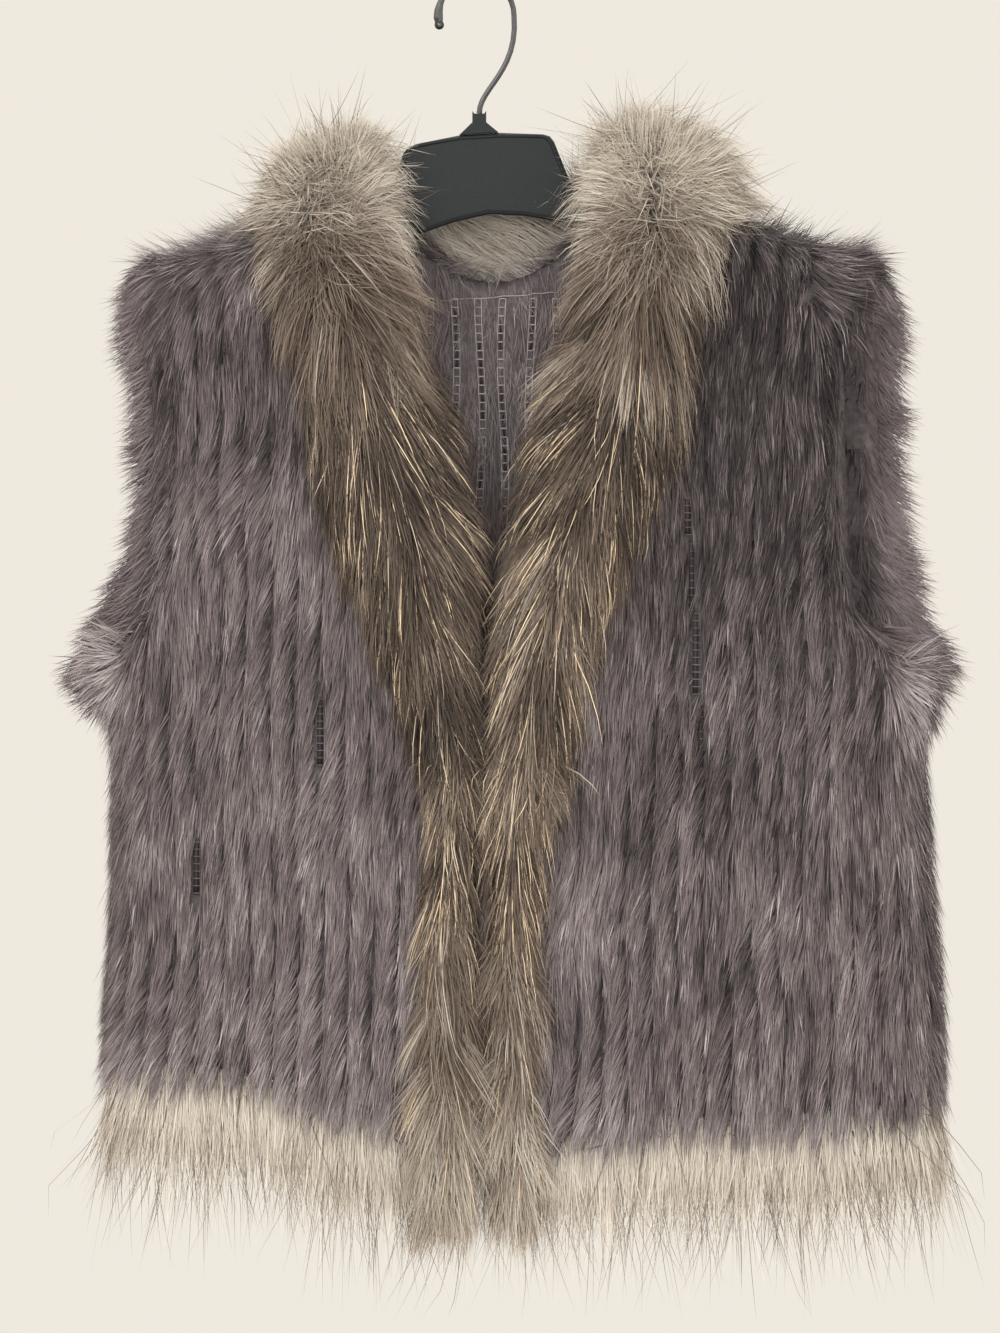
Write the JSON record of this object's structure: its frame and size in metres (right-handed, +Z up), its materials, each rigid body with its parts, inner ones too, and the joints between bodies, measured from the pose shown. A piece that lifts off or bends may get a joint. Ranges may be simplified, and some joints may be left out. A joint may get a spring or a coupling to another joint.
{
  "type": "fur trim vest on a hanger",
  "caption": "Open sleeveless knitted fur vest with a long-haired shawl collar, front trims and hem fringe, hung on a plastic plate hanger with a wire hook.",
  "frame": {"origin": "inside top of the hanger's hook, where it lies on a rail", "axes": "+Z up, -Y out of the front of the vest, +X to the right seen from the front"},
  "size_m": [0.5534, 0.1634, 0.8251],
  "materials": {
    "knitted_fur": "short dense mauve-grey pile",
    "collar_fur": "long grey-beige hair with pale tips",
    "hem_fur": "long pale cream hair",
    "hanger_plastic": "satin moulded",
    "hook_steel": "plated wire"
  },
  "bodies": {
    "root": {"back": "knitted_fur", "front_left": "knitted_fur", "front_right": "knitted_fur", "lapel_left": "collar_fur", "lapel_right": "collar_fur", "collar_back": "collar_fur", "front_trim_left": "collar_fur", "front_trim_right": "collar_fur", "hem_trim_front_left": "hem_fur", "hem_trim_front_right": "hem_fur", "hem_trim_back": "hem_fur", "hanger_body": "hanger_plastic", "hanger_socket": "hanger_plastic", "hanger_hook": "hook_steel"}
  },
  "joints": []
}
